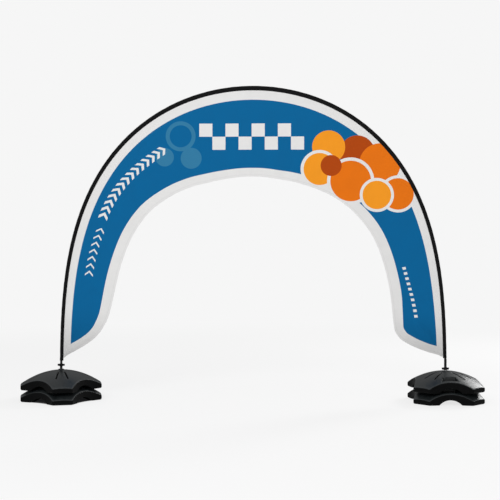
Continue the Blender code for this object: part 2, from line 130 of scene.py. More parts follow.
Fold = namedtuple("Fold", "arc_a depth_a arc_b depth_b height half_width")
FOLDS = (                   # soft folds of the lower corners
    Fold(-3.70, 0.05, -3.46, 0.34, -0.014, 0.045),
    Fold(-3.60, 0.06, -3.20, 0.24, 0.008, 0.060),
    Fold(3.66, 0.07, 3.36, 0.27, -0.012, 0.050),
    Fold(3.70, 0.08, 3.52, 0.38, 0.010, 0.045),
)
CREASES = (                 # narrower creases that the folds run out into
    Fold(-3.71, 0.03, -3.40, 0.20, 0.0046, 0.016),
    Fold(-3.66, 0.05, -3.52, 0.30, -0.0042, 0.018),
    Fold(-3.30, 0.04, -3.02, 0.33, 0.0040, 0.026),
    Fold(-2.35, 0.03, -2.20, 0.40, -0.0020, 0.030),
    Fold(-1.22, 0.03, -1.36, 0.55, 0.0022, 0.034),
    Fold(0.95, 0.03, 1.10, 0.60, -0.0020, 0.036),
    Fold(1.85, 0.03, 1.74, 0.48, 0.0022, 0.032),
    Fold(3.56, 0.13, 3.35, 0.30, -0.0075, 0.017),
    Fold(3.69, 0.03, 3.45, 0.16, 0.0046, 0.016),
    Fold(3.16, 0.03, 3.22, 0.34, 0.0036, 0.028),
)

Ripple = namedtuple("Ripple", "length phase height")
SEAM_RIPPLES = (
    Ripple(0.071, 0.4, 0.0005),
    Ripple(0.113, 2.1, 0.0006),
    Ripple(0.197, 4.0, 0.0007),
)
HEM_RIPPLES = (
    Ripple(0.094, 1.3, 0.0006),
    Ripple(0.163, 3.2, 0.0008),
    Ripple(0.310, 0.9, 0.0012),
)
SEAM_RIPPLE_REACH = 0.045
HEM_RIPPLE_REACH = 0.060
PANEL_RIPPLES = (
    Ripple(0.43, 2.6, 0.0011),
    Ripple(0.71, 5.1, 0.0016),
)

# White borders round the blue field
Border = namedtuple("Border", "arc left right")
OUTER_BORDER = (            # pole's axis to the blue field
    Border(0.0, 0.125, 0.125),
    Border(1.6, 0.111, 0.111),
    Border(2.8, 0.099, 0.099),
    Border(3.6, 0.092, 0.083),
)
INNER_BORDER = (            # free edge to the blue field, square to the edge
    Border(0.0, 0.087, 0.087),
    Border(1.1, 0.095, 0.095),
    Border(1.5, 0.100, 0.100),
    Border(2.2, 0.110, 0.110),
    Border(3.0, 0.110, 0.110),
    Border(3.3, 0.099, 0.101),
    Border(3.5, 0.084, 0.086),
    Border(3.7, 0.080, 0.078),
)

# Print and threads: colours are linear
PRINT_EDGE = 0.0012
KNIT_WALE = 0.0016
KNIT_COURSE = 0.0013
WEAVE_PITCH = 0.0011
HEM_STITCH = 0.0060
SEAM_STITCH = 0.0055
BLUE = (0.0030, 0.128, 0.322)
PALE_BLUE = (0.036, 0.200, 0.366)
WHITE = (0.800, 0.795, 0.790)
AMBER = (0.930, 0.330, 0.020)
ORANGE = (0.820, 0.180, 0.008)
RUST = (0.440, 0.065, 0.006)

Chequers = namedtuple("Chequers", "left bottom square columns rows")
CHEQUERS = Chequers(-0.503, 2.504, 0.1310, 8, 2)

Ring = namedtuple("Ring", "x z radius width")
RINGS = (                   # pale circles behind the chequers; width 0 is a filled disc
    Ring(-0.690, 2.640, 0.150, 0.040),
    Ring(-0.850, 2.430, 0.092, 0.0),
    Ring(-0.585, 2.420, 0.105, 0.0),
)

Disc = namedtuple("Disc", "x z radius rim colour")
DISCS = (                   # overlapping discs, from the back to the front
    Disc(1.075, 2.470, 0.175, 0.0, RUST),
    Disc(1.300, 2.360, 0.205, 0.0, ORANGE),
    Disc(0.790, 2.530, 0.165, 0.0, AMBER),
    Disc(0.700, 2.310, 0.190, 0.030, AMBER),
    Disc(1.480, 2.060, 0.185, 0.028, ORANGE),
    Disc(1.010, 2.190, 0.235, 0.032, ORANGE),
    Disc(1.270, 2.050, 0.170, 0.028, AMBER),
    Disc(0.815, 2.345, 0.105, 0.0, RUST),
)

Marks = namedtuple("Marks", "arc_a arc_b pitch share half_height")
CHEVRONS = (                # arrows up the left leg, thin ones first
    Marks(-2.86, -2.30, 0.080, 0.24, 0.040),
    Marks(-2.22, -1.10, 0.080, 0.44, 0.046),
)
DASHES = Marks(2.78, 3.36, 0.058, 0.46, 0.016)

# Weights, a dome z = WEIGHT_HEIGHT - DOME_FALL r^2 with four lobes
WEIGHT_HEIGHT = 0.185
DOME_FALL = 0.852
STACK_PITCH = 0.115
LOBE_REACH = 0.398
LOBE_HALF_WIDTH = 0.0975
BITE_REACH = 0.306
HOLE_RADIUS = 0.0140
NOTCH_WIDTH = 0.220
NOTCH_HEIGHT = 0.048
BOSS_RADIUS = 0.034
BOSS_HEIGHT = 0.008
LEFT_TURN = radians(13.5)
RIGHT_TURN = radians(45.0)
STACK_TOP = STACK_PITCH + WEIGHT_HEIGHT
GROOVE_INNER = (0.100, 0.028)
GROOVE_OUTER = (0.260, 0.058)
GROOVE_WIDTH = 0.012
GROOVE_DEPTH = 0.0055
RECESS_INNER = 0.206
RECESS_OUTER = 0.277
RECESS_INNER_HALF = 0.058
RECESS_OUTER_HALF = 0.081
RECESS_FLOOR = 0.090
RECESS_SOFT = 0.0035
DIAGONAL = 0.5**0.5
CORNER_ROUND = 0.014        # plan rounding at the lobes' corners
RIM_ROUND = 0.0085          # rounding where the top turns into the wall
FOOT_ROUND = 0.005
END_FOOT_ROUND = 0.018      # larger rounding below the lobes' ends
TOP_RINGS = 92
WALL_RINGS = 7
UNDER_RINGS = 26
RIM_STEPS = (15.0, 30.0, 45.0, 60.0, 75.0, 90.0)
FOOT_STEPS = (18.0, 36.0, 54.0, 72.0, 90.0)
RAY_SPACING = (             # degrees from a lobe's middle, and rays in that stretch
    (0.0, 10.5, 6),
    (10.5, 17.5, 17),
    (17.5, 27.0, 8),
    (27.0, 30.5, 9),
    (30.5, 45.0, 12),
)

# Spigots, washer and wing nuts
STUD_RADIUS = 0.0133
STUD_FOOT = 0.060
PIN_RADIUS = 0.0070
PIN_LENGTH = 0.060
LEFT_SHOULDER = 0.361
RIGHT_SHOULDER = 0.417
STUD_SIDES = 40
THREAD_PITCH = 0.0035
THREAD_DEPTH = 0.0009
THREAD_RELIEF = 0.004       # plain length at both ends of the thread
THREAD_FADE = 0.010
WASHER_RADIUS = 0.0190
WASHER_HEIGHT = 0.007
NUT_HUB_RADIUS = 0.0180
NUT_HEIGHT = 0.025
NUT_HOLE = 0.0140
WING_ROOT = 0.0155
WING_REACH = 0.036
WING_TOP = (0.0100, 0.0123)         # over the nut's middle, at the root and at the tip
WING_BOTTOM = (-0.0104, -0.0088)
WING_BELLY = 0.0006
WING_HALF_DEPTH = (0.0044, 0.0038)
WING_SECTIONS = 12
WING_SIDES = 20
RING_SIDES = 48

# Camera, level, at the height and distance that the photograph was taken from
CAMERA_DISTANCE = 10.0
CAMERA_HEIGHT = 1.501
CAMERA_AZIMUTH = radians(1.2)
CAMERA_ASIDE = 0.025        # puts the arch's middle a little right of the picture's middle
CAMERA_LENS = 72.0

# Studio
BACKDROP = (0.922, 0.922, 0.922)
FLOOR_RADIUS = 60.0
FLOOR_SIDES = 128
FLOOR_GREY = 0.20
FLOOR_GLOW = 0.75           # the floor's own light, which keeps its shadows faint
SHADE_SOFT = 0.03
AIM_HEIGHT = 1.2            # the lights point at the middle of the arch

Light = namedtuple("Light", "name x y z size power")
LIGHTS = (
    Light("front_soft", -2.5, -10.5, 8.2, 8.0, 730.0),
    Light("back_soft", 7.4, 6.4, 5.6, 3.4, 390.0),
)


def stack_reach(turn):
    """Reach of a turned weight along X."""
    return LOBE_REACH * cos(turn) + LOBE_HALF_WIDTH * sin(turn)


MIDDLE_X = (stack_reach(LEFT_TURN) - stack_reach(RIGHT_TURN)) / 2.0


def smooth_table(arc, rows, column):
    """Read a table at an array of arcs with a cubic that never overshoots its rows."""
    arcs = np.array([row.arc for row in rows])
    values = np.array([getattr(row, column) for row in rows])
    steps = np.diff(arcs)
    slopes = np.diff(values) / steps
    turns = slopes[:-1] * slopes[1:]
    sums = np.where(turns > 0.0, slopes[:-1] + slopes[1:], 1.0)
    inner = np.where(turns > 0.0, 2.0 * turns / sums, 0.0)
    tangents = np.concatenate(([slopes[0] * 0.2], inner, [slopes[-1]]))
    row = np.clip(np.searchsorted(arcs, arc) - 1, 0, len(steps) - 1)
    t = (arc - arcs[row]) / steps[row]
    rise = values[row + 1] - values[row]
    start = tangents[row] * steps[row]
    end = tangents[row + 1] * steps[row]
    square = 3.0 * rise - 2.0 * start - end
    cube = start + end - 2.0 * rise
    return values[row] + t * start + t * t * square + t**3 * cube


def by_side(arc, rows):
    """Read a table with a left and a right column at signed arcs."""
    left, right = (smooth_table(np.abs(arc), rows, column) for column in ("left", "right"))
    return np.where(arc < 0.0, left, right)


def tail_reach(arc):
    return smooth_table(np.abs(arc), SLEEVE_TAILS, "tail")


def smoothstep(low, high, value):
    t = np.clip((value - low) / (high - low), 0.0, 1.0)
    return t * t * (3.0 - 2.0 * t)


def ripples(arc, rows):
    return sum(row.height * np.sin(2.0 * pi * arc / row.length + row.phase) for row in rows)


class PoleLine:
    """Axis of the pole, read by arc length from the top; negative arcs are the left leg."""

    SAMPLES = 6000

    def __init__(self):
        angles = np.linspace(pi / 2.0, 0.0001, self.SAMPLES)
        self.x = HALF_SPAN * np.cos(angles)
        self.z = ARCH_BASE + ARCH_RISE * np.sin(angles) ** (2.0 / ARCH_POWER)
        pieces = np.hypot(np.diff(self.x), np.diff(self.z))
        self.arc = np.concatenate(([0.0], np.cumsum(pieces)))
        self.tangent_x = np.gradient(self.x, self.arc)
        self.tangent_z = np.gradient(self.z, self.arc)

    def place(self, arc, depth):
        """X and Z at a depth from the axis towards the inside of the bow."""
        side = np.where(arc < 0.0, -1.0, 1.0)
        along = np.abs(arc)
        x, z, tangent_x, tangent_z = (
            np.interp(along, self.arc, values)
            for values in (self.x, self.z, self.tangent_x, self.tangent_z)
        )
        length = np.hypot(tangent_x, tangent_z)
        return MIDDLE_X + side * x + side * tangent_z / length * depth, z - tangent_x / length * depth

    def arc_at_height(self, height):
        return float(np.interp(-height, -self.z, self.arc))


LINE = PoleLine()


def grid_faces(rows, columns, close_rows=False, close_columns=False):
    """Quads of a grid of points stored row by row."""
    faces = []
    for i in range(rows if close_rows else rows - 1):
        near = i * columns
        far = ((i + 1) % rows) * columns
        for j in range(columns if close_columns else columns - 1):
            k = (j + 1) % columns
            faces.append((near + j, near + k, far + k, far + j))
    return faces


def capped_faces(count, sides):
    """Faces of stacked rings with a cap at both ends."""
    last = (count - 1) * sides
    caps = [tuple(range(sides))[::-1], tuple(range(last, last + sides))]
    return grid_faces(count, sides, close_columns=True) + caps


def round_angles(sides):
    return np.arange(sides) * 2.0 * pi / sides


def upright_ring(x, radius, height, angles):
    """Ring of points about an upright axis."""
    across, ahead = radius * np.cos(angles), radius * np.sin(angles)
    return np.column_stack((MIDDLE_X + x + across, ahead, np.full(len(angles), height)))


def add_object(name, data):
    obj = bpy.data.objects.new(name, data)
    bpy.context.scene.collection.objects.link(obj)
    return obj


def mesh_object(name, points, faces):
    mesh = bpy.data.meshes.new(name)
    mesh.from_pydata([tuple(point) for point in points], [], faces)
    return add_object(name, mesh)


def new_piece(name, points, faces, material, replaced, smooth_angle=40.0):
    """Mesh object of a point array and faces that rides on the arch and stands for CAD nodes."""
    obj = mesh_object(name, points, faces)
    mesh = obj.data
    mesh.validate()
    mesh.shade_smooth()
    mesh.set_sharp_from_angle(angle=radians(smooth_angle))
    mesh.materials.append(material)
    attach(obj, BODY)
    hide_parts(*replaced)
    return obj


def point_data(obj, name, values):
    """Store a number or a vector for each point of a mesh."""
    kind, key = ("FLOAT", "value") if values.ndim == 1 else ("FLOAT_VECTOR", "vector")
    attribute = obj.data.attributes.new(name, kind, "POINT")
    attribute.data.foreach_set(key, values.astype(np.float32).ravel())


class Nodes:
    """Short ways to wire a node tree."""

    def __init__(self, tree):
        self.tree = tree

    def node(self, kind, **settings):
        node = self.tree.nodes.new(kind)
        for key, value in settings.items():
            setattr(node, key, value)
        return node

    def feed(self, socket, value):
        if isinstance(value, bpy.types.NodeSocket):
            self.tree.links.new(value, socket)
        else:
            socket.default_value = (*value, 1.0) if socket.type == "RGBA" else value

    def wire(self, kind, *values, **settings):
        """Outputs of a new node with values or links in its first sockets."""
        node = self.node(kind, **settings)
        for socket, value in zip(node.inputs, values):
            self.feed(socket, value)
        return node.outputs

    def math(self, operation, *values):
        return self.wire("ShaderNodeMath", *values, operation=operation)[0]

    def times(self, first, second):
        return self.math("MULTIPLY", first, second)

    def minus(self, first, second):
        return self.math("SUBTRACT", first, second)

    def plus(self, first, second):
        return self.math("ADD", first, second)

    def apart(self, value, middle):
        """Distance of a value from a middle."""
        return self.math("ABSOLUTE", self.minus(value, middle))

    def pitches(self, value, start, pitch):
        """How many pitches a value lies past the start."""
        return self.math("DIVIDE", self.minus(value, start), pitch)

    def repeat(self, value, start, pitch):
        """Share of its pitch that a value has run through since the last repeat."""
        return self.math("FRACT", self.pitches(value, start, pitch))

    def wave(self, value, length):
        return self.math("SINE", self.times(value, 2.0 * pi / length))

    def within(self, value, low, high):
        """1 between low and high, 0 outside."""
        return self.times(self.math("GREATER_THAN", value, low), self.math("LESS_THAN", value, high))

    def vector(self, operation, *values):
        outputs = self.wire("ShaderNodeVectorMath", *values, operation=operation)
        return outputs["Value" if operation in ("DISTANCE", "LENGTH") else "Vector"]

    def attribute(self, name, output="Fac"):
        return self.node("ShaderNodeAttribute", attribute_name=name).outputs[output]

    def place(self):
        return self.node("ShaderNodeTexCoord").outputs["Object"]

    def split(self, vector):
        return self.wire("ShaderNodeSeparateXYZ", vector)

    def grey(self, value):
        """Vector of three equal values."""
        return self.wire("ShaderNodeCombineXYZ", value, value, value)[0]

    def step(self, value, low, high, to_low=0.0, to_high=1.0):
        """Soft step of a value from to_low at low to to_high at high."""
        numbers = (value, low, high, to_low, to_high)
        return self.wire("ShaderNodeMapRange", *numbers, interpolation_type="SMOOTHSTEP")[0]

    def below(self, value, limit, soft):
        """1 below a limit, 0 above it, soft past it."""
        return self.step(value, limit, limit + soft, 1.0, 0.0)

    def disc(self, distance, reach):
        return self.step(distance, reach - PRINT_EDGE, reach + PRINT_EDGE, 1.0, 0.0)

    def blend(self, factor, first, second):
        node = self.node("ShaderNodeMix", data_type="RGBA")
        for index, value in ((0, factor), (6, first), (7, second)):
            self.feed(node.inputs[index], value)
        return node.outputs[2]

    def mix(self, factor, first, second):
        """Mix of the outputs of two shader nodes."""
        return self.wire("ShaderNodeMixShader", factor, first.outputs[0], second.outputs[0])[0]

    def noise(self, vector, scale, detail=3.0, roughness=0.5):
        node = self.node("ShaderNodeTexNoise")
        values = {"Vector": vector, "Scale": scale, "Detail": detail, "Roughness": roughness}
        for name, value in values.items():
            self.feed(node.inputs[name], value)
        return node.outputs[0]

    def bump(self, height, distance, strength, normal=None):
        node = self.node("ShaderNodeBump")
        values = {"Strength": strength, "Distance": distance, "Height": height}
        if normal is not None:
            values["Normal"] = normal
        for name, value in values.items():
            self.feed(node.inputs[name], value)
        return node.outputs[0]


class Shader(Nodes):
    """One Principled material."""

    def __init__(self, name, roughness, **constants):
        self.material = bpy.data.materials.new(name)
        self.material.use_nodes = True
        super().__init__(self.material.node_tree)
        self.surface = self.tree.nodes["Principled BSDF"]
        for socket, value in {"Roughness": roughness, **constants}.items():
            self.feed(self.surface.inputs[socket.replace("_", " ")], value)

    def finish(self, colour, roughness, normal):
        for name, value in (("Base Color", colour), ("Roughness", roughness), ("Normal", normal)):
            self.feed(self.surface.inputs[name], value)
        return self.material


def mark_row(shader, row, along, across, soft):
    """1 on the marks of a row that runs along the pole."""
    stroke = shader.below(shader.repeat(along, row.arc_a, row.pitch), row.share, soft)
    height = shader.below(across, row.half_height, PRINT_EDGE)
    return shader.times(shader.times(stroke, height), shader.within(along, row.arc_a, row.arc_b))


def printed_cloth():
    """Knitted cloth with its printed field, borders and generic motifs."""
    shader = Shader("printed_cloth", 0.80, Sheen_Weight=0.02, Sheen_Roughness=0.5, Specular_IOR_Level=0.06)
    print_place = shader.attribute("print_place", "Vector")
    weave = shader.attribute("weave", "Vector")
    arc, depth, _ = shader.split(weave)
    x, z, _ = shader.split(print_place)

    field = shader.math("MINIMUM", shader.attribute("outer_border"), shader.attribute("inner_border"))
    colour = shader.blend(shader.step(field, -PRINT_EDGE, PRINT_EDGE), WHITE, BLUE)

    inside_field = shader.step(field, 0.0, PRINT_EDGE)
    for ring in RINGS:
        distance = shader.vector("DISTANCE", print_place, (ring.x, ring.z, 0.0))
        if ring.width:
            distance = shader.apart(distance, ring.radius - ring.width / 2.0)
        mask = shader.disc(distance, ring.width / 2.0 or ring.radius)
        colour = shader.blend(shader.times(mask, inside_field), colour, PALE_BLUE)

    for row in CHEVRONS:
        across = shader.apart(depth, shader.step(arc, row.arc_a, -1.0, 0.225, 0.335))
        marks = mark_row(shader, row, shader.plus(arc, across), across, 0.03)
        colour = shader.blend(marks, colour, WHITE)
    across = shader.apart(depth, shader.step(arc, 2.6, 3.5, 0.352, 0.268))
    colour = shader.blend(mark_row(shader, DASHES, arc, across, 0.04), colour, WHITE)

    column = shader.pitches(x, CHEQUERS.left, CHEQUERS.square)
    line = shader.pitches(z, CHEQUERS.bottom, CHEQUERS.square)
    cells = shader.plus(shader.math("FLOOR", column), shader.math("FLOOR", line))
    odd = shader.math("FLOORED_MODULO", cells, 2.0)
    for value, count in ((column, CHEQUERS.columns), (line, CHEQUERS.rows)):
        odd = shader.times(odd, shader.within(value, 0.0, float(count)))
    colour = shader.blend(odd, colour, WHITE)

    for disc in DISCS:
        distance = shader.vector("DISTANCE", print_place, (disc.x, disc.z, 0.0))
        if disc.rim:
            colour = shader.blend(shader.disc(distance, disc.radius), colour, WHITE)
        colour = shader.blend(shader.disc(distance, disc.radius - disc.rim), colour, disc.colour)

    # Ink lies a little unevenly, painted shade greys the low corners, and a line of painted shade marks where
    # the folded hem ends
    cloudy = shader.noise(weave, 5.0, 4.0, 0.6)
    # tone: random ink unevenness times a painted shade that darkens the cloth below 0.95 m
    tone = shader.times(shader.step(cloudy, 0.3, 0.7, 0.965, 1.0), shader.step(z, 0.42, 0.95, 0.80, 1.0))
    colour = shader.vector("MULTIPLY", colour, shader.grey(tone))
    groove = shader.below(shader.apart(shader.attribute("from_hem"), HEM_WIDTH), 0.0, 0.0022)
    # painted shade along the groove where the hem's stitches lie
    colour = shader.blend(shader.times(groove, 0.22), colour, (0.30, 0.30, 0.31))

    # Knit loops, lines of stitches along the hem and a grain of slubs
    knit = shader.times(shader.wave(arc, KNIT_WALE), shader.wave(depth, KNIT_COURSE))
    normal = shader.bump(knit, 0.00010, 0.35)
    thread = shader.times(shader.below(shader.repeat(arc, 0.0, HEM_STITCH), 0.55, 0.15), groove)
    normal = shader.bump(shader.minus(thread, groove), 0.0007, 0.8, normal)
    slubs = shader.noise(shader.vector("MULTIPLY", weave, (40.0, 260.0, 1.0)), 1.0, 2.0)
    normal = shader.bump(slubs, 0.00025, 0.4, normal)
    return shader.finish(colour, shader.step(cloudy, 0.2, 0.8, 0.72, 0.84), normal)


def fold_height(fold, arc, depth):
    """Height of one fold at places on the cloth, fading out at its two ends."""
    run_arc = fold.arc_b - fold.arc_a
    run_depth = fold.depth_b - fold.depth_a
    length = hypot(run_arc, run_depth)
    along = ((arc - fold.arc_a) * run_arc + (depth - fold.depth_a) * run_depth) / length**2
    across = ((arc - fold.arc_a) * run_depth - (depth - fold.depth_a) * run_arc) / length
    fade = np.where((along > 0.0) & (along < 1.0), 1.0 - (2.0 * along - 1.0) ** 4, 0.0)
    return fold.height * fade * np.exp(-((across / fold.half_width) ** 2))


def cloth_offset(arc, depth, width, from_hem):
    """How far the cloth stands off the plane of the pole, towards +Y."""
    share = np.clip(depth / width, 0.0, 1.0)
    edge = smoothstep(0.0, 1.0, share)
    wave = sum(row.height * np.exp(-(((arc - row.arc) / row.length) ** 2)) for row in WAVES)
    folds = sum(fold_height(row, arc, depth) for row in FOLDS)
    creases = sum(fold_height(row, arc, depth) for row in CREASES)
    from_seam = depth - tail_reach(arc)
    seam = ripples(arc, SEAM_RIPPLES) * np.exp(-from_seam / SEAM_RIPPLE_REACH)
    seam *= smoothstep(0.0, 0.012, from_seam)
    hem = ripples(arc + 0.4 * depth, HEM_RIPPLES) * np.exp(-from_hem / HEM_RIPPLE_REACH)
    panel = ripples(arc, PANEL_RIPPLES) * np.sin(pi * share) ** 2
    return edge * (wave + folds) + creases + seam + hem * edge + panel


def banner_depths(start, width):
    """Depths of the grid's lines: close at the seam and the hem, even between them."""
    scale = min(1.0, (width - start) / 0.14)
    first = start + np.array(SEAM_LINES) * scale
    last = width - np.array(HEM_LINES) * scale
    middle = np.linspace(first[-1], last[0], BANNER_MIDDLE_LINES + 2)[1:-1]
    return np.concatenate((first, middle, last))


def mesh_numbers(items, name):
    values = np.empty(len(items), dtype=np.int32)
    items.foreach_get(name, values)
    return values


def unrolled_map(mesh, arc, depth):
    """Flat map of the cloth in rows, one above the other."""
    row_length = (TIP_LEFT + TIP_RIGHT) / MAP_ROWS
    size = MAP_ROWS * MAP_ROW_HEIGHT
    layer = mesh.uv_layers.new(name="OFBake")
    corners = mesh_numbers(mesh.loops, "vertex_index")
    starts = mesh_numbers(mesh.polygons, "loop_start")
    totals = mesh_numbers(mesh.polygons, "loop_total")
    from_tip = arc[corners] + TIP_LEFT
    middles = np.add.reduceat(from_tip, starts) / totals
    row = np.repeat(np.clip(middles // row_length, 0, MAP_ROWS - 1), totals)
    u = (from_tip - row * row_length + 0.02) / size
    v = (row * MAP_ROW_HEIGHT + depth[corners] + 0.005) / size
    layer.data.foreach_set("uv", np.column_stack((u, v)).astype(np.float32).ravel())


def distance_from_hem(x, z):
    """Distance of places on the cloth from its free edge."""
    edge = np.linspace(-TIP_LEFT, TIP_RIGHT, 8000)
    tree = kdtree.KDTree(len(edge))
    for index, (edge_x, edge_z) in enumerate(zip(*LINE.place(edge, by_side(edge, WIDTHS)))):
        tree.insert((edge_x, 0.0, edge_z), index)
    tree.balance()
    return np.array([tree.find((a, 0.0, b))[2] for a, b in zip(x.ravel(), z.ravel())]).reshape(x.shape)


def make_banner(material):
    """Both faces of the cloth on one grid, closed round the edges, thicker along the hem."""
    count = round((TIP_LEFT + TIP_RIGHT) / BANNER_PITCH)
    arcs = np.linspace(-TIP_LEFT, TIP_RIGHT, count)
    width = by_side(arcs, WIDTHS)
    depth = np.array([banner_depths(*reach) for reach in zip(tail_reach(arcs) + GAP, width)])
    arc = np.repeat(arcs[:, None], depth.shape[1], axis=1)
    x, z = LINE.place(arc, depth)
    from_hem = distance_from_hem(x, z)
    from_hem[:, -1] = 0.0

    offset = cloth_offset(arc, depth, width[:, None], from_hem)
    hem = 1.0 - smoothstep(HEM_WIDTH - HEM_SOFT, HEM_WIDTH + HEM_SOFT, from_hem)
    thickness = (CLOTH + HEM_RISE * hem) * (0.35 + 0.65 * smoothstep(0.0, 0.003, from_hem))
    skins = [np.stack((x, offset + side * thickness, z), axis=-1) for side in (-0.5, 0.5)]
    points = np.concatenate(skins).reshape(-1, 3)
    size = depth.size
    front = grid_faces(*depth.shape)
    faces = [face[::-1] for face in front]
    faces += [tuple(size + index for index in face) for face in front]
    grid = np.arange(size).reshape(depth.shape)
    rim = np.concatenate((grid[:, 0], grid[-1, 1:], grid[-2::-1, -1], grid[0, -2:0:-1])).tolist()
    faces += [(a, b, size + b, size + a) for a, b in zip(rim, rim[1:] + rim[:1])]
    obj = new_piece("banner_cloth", points, faces, material, ["banner"], 60.0)

    def both(values):
        return np.tile(values.ravel(), 2)

    zero = np.zeros(2 * size)
    point_data(obj, "outer_border", both(depth - by_side(arc, OUTER_BORDER)))
    point_data(obj, "inner_border", both(from_hem - by_side(arc, INNER_BORDER)))
    point_data(obj, "from_hem", both(from_hem))
    point_data(obj, "weave", np.column_stack((both(arc), both(depth), zero)))
    point_data(obj, "print_place", np.column_stack((both(x), both(z), zero)))
    unrolled_map(obj.data, both(arc), both(depth))
    return obj


def sleeve_cloth():
    """Black woven sleeve with a line of stitches beside the banner."""
    shader = Shader("sleeve_weave", 0.66, Sheen_Weight=0.02, Sheen_Roughness=0.4, Specular_IOR_Level=0.10)
    weave = shader.attribute("weave", "Vector")
    arc, around, from_seam = shader.split(weave)
    patches = shader.noise(weave, 14.0, 4.0, 0.6)
    colour = shader.blend(shader.step(patches, 0.3, 0.75), (0.0026, 0.0026, 0.0028), (0.0056, 0.0056, 0.0060))
    threads = shader.times(shader.wave(arc, WEAVE_PITCH), shader.wave(around, WEAVE_PITCH))
    normal = shader.bump(threads, 0.00010, 0.4)
    line = shader.below(shader.math("ABSOLUTE", from_seam), 0.0, 0.0010)
    stitch = shader.times(shader.below(shader.repeat(arc, 0.0, SEAM_STITCH), 0.60, 0.12), line)
    normal = shader.bump(shader.minus(stitch, shader.times(line, 0.5)), 0.0008, 0.9, normal)
    colour = shader.blend(shader.times(stitch, 0.6), colour, (0.045, 0.045, 0.048))
    return shader.finish(colour, shader.step(patches, 0.3, 0.7, 0.55, 0.70), normal)


def sleeve_section(arc, radius, tail, tail_half):
    """Section of the sleeve as depth and side: up one side of the tail, round the pole and back."""
    arc, radius, tail = arc[:, None], radius[:, None], tail[:, None]
    lean = np.arccos(np.minimum(1.0, radius / tail))
    turn = np.linspace(0.0, 1.0, SLEEVE_ROUND_STEPS + 1)
    angles = lean + (2.0 * pi - 2.0 * lean) * turn
    puckers = 0.030 * np.sin(2.0 * angles + 9.0 * arc) * np.sin(2.0 * pi * arc / 0.157)
    puckers += 0.022 * np.sin(3.0 * angles + 2.0 * pi * arc / 0.083)
    ends = smoothstep(0.0, 1.0, turn * 6.0)
    swell = radius * (1.0 + puckers * ends * ends[::-1])
    round_depth = swell * np.cos(angles)
    round_side = swell * np.sin(angles)
    share = np.linspace(0.0, 1.0, SLEEVE_FLAT_STEPS + 1)[:-1]
    flat_depth = tail + (round_depth[:, :1] - tail) * share
    flat_side = tail_half + (round_side[:, :1] - tail_half) * share
    depth = np.concatenate((flat_depth, round_depth, flat_depth[:, ::-1]), axis=1)
    side = np.concatenate((flat_side, round_side, -flat_side[:, ::-1]), axis=1)
    return depth, side


def make_sleeve(material):
    """Sleeve cloth: an outer and an inner skin joined round both open ends."""
    count = round((SLEEVE_END_LEFT + SLEEVE_END_RIGHT) / SLEEVE_PITCH)
    first, last = -SLEEVE_END_LEFT, SLEEVE_END_RIGHT
    hem = np.array([0.0, 0.001, 0.004, 0.012, SLEEVE_HEM - 0.001, SLEEVE_HEM + 0.0006, 0.030])
    middle = np.linspace(first + hem[-1], last - hem[-1], count)[1:-1]
    arcs = np.concatenate((first + hem, middle, (last - hem)[::-1]))
    tail = tail_reach(arcs)
    from_end = np.minimum(arcs - first, last - arcs)
    fold = 0.0009 * (1.0 - smoothstep(SLEEVE_HEM - 0.0008, SLEEVE_HEM + 0.0004, from_end))
    fold *= 0.3 + 0.7 * smoothstep(0.0, 0.002, from_end)
    points = []
    weave = []
    for order, cloth, swell in ((1, 0.0, fold), (-1, SLEEVE_CLOTH, np.zeros_like(fold))):
        tail_half = TAIL_THICKNESS / 2.0 - cloth
        depth, side = sleeve_section(arcs, SLEEVE_RADIUS - cloth + swell, tail - cloth, tail_half)
        x, z = LINE.place(arcs[:, None], depth)
        steps = np.hypot(np.diff(depth, axis=1), np.diff(side, axis=1))
        around = np.concatenate((np.zeros((len(arcs), 1)), np.cumsum(steps, axis=1)), axis=1)
        from_seam = depth - (tail[:, None] - SEAM_INSET)
        along = np.repeat(arcs[:, None], depth.shape[1], axis=1)
        points.append(np.stack((x, side, z), axis=-1)[::order].reshape(-1, 3))
        weave.append(np.stack((along, around, from_seam), axis=-1)[::order].reshape(-1, 3))
    points = np.concatenate(points)
    faces = grid_faces(2 * len(arcs), depth.shape[1], close_rows=True, close_columns=True)
    obj = new_piece("sleeve_cloth", points, faces, material, ["pole_sleeve"], 50.0)
    point_data(obj, "weave", np.concatenate(weave))
    return obj


def coated_tube():
    """Dark coated tube of the pole, matt with fine lengthwise marks."""
    shader = Shader("pole_coating", 0.38, Specular_IOR_Level=0.22)
    place = shader.place()
    marks = shader.noise(shader.vector("MULTIPLY", place, (900.0, 900.0, 30.0)), 1.0, 3.0)
    wear = shader.noise(place, 60.0, 4.0, 0.65)
    colour = shader.blend(shader.step(wear, 0.45, 0.75), (0.0030, 0.0030, 0.0032), (0.0070, 0.0070, 0.0074))
    return shader.finish(colour, shader.step(marks, 0.3, 0.7, 0.28, 0.42), shader.bump(marks, 0.0001, 0.25))


def make_pole(material):
    """Pole tube with chamfered ends and a bore at each foot on the spigot's axis."""
    feet = (LEFT_SHOULDER + GAP, RIGHT_SHOULDER + GAP)
    first, last = -LINE.arc_at_height(feet[0]), LINE.arc_at_height(feet[1])
    arcs = np.linspace(first, last, round((last - first) / POLE_PITCH))
    arcs = np.concatenate(([first, first + POLE_CHAMFER], arcs[1:-1], [last - POLE_CHAMFER, last]))
    radii = np.full((len(arcs), 1), POLE_RADIUS)
    radii[[0, -1]] -= POLE_CHAMFER
    angles = round_angles(POLE_SIDES)
    x, z = LINE.place(arcs[:, None], radii * np.cos(angles))
    bores = []
    for side, foot, turned in ((-1.0, feet[0], angles), (1.0, feet[1], pi - angles)):
        profile = ((POINT, foot + BORE_DEPTH), (BORE_RADIUS, foot + BORE_DEPTH), (BORE_RADIUS, foot))
        bores.append([upright_ring(side * HALF_SPAN, radius, height, turned) for radius, height in profile])
    rings = [*bores[0], *np.stack((x, radii * np.sin(angles), z), axis=-1), *bores[1][::-1]]
    faces = capped_faces(len(rings), POLE_SIDES)
    new_piece("pole_tube", np.concatenate(rings), faces, material, ["pole"])


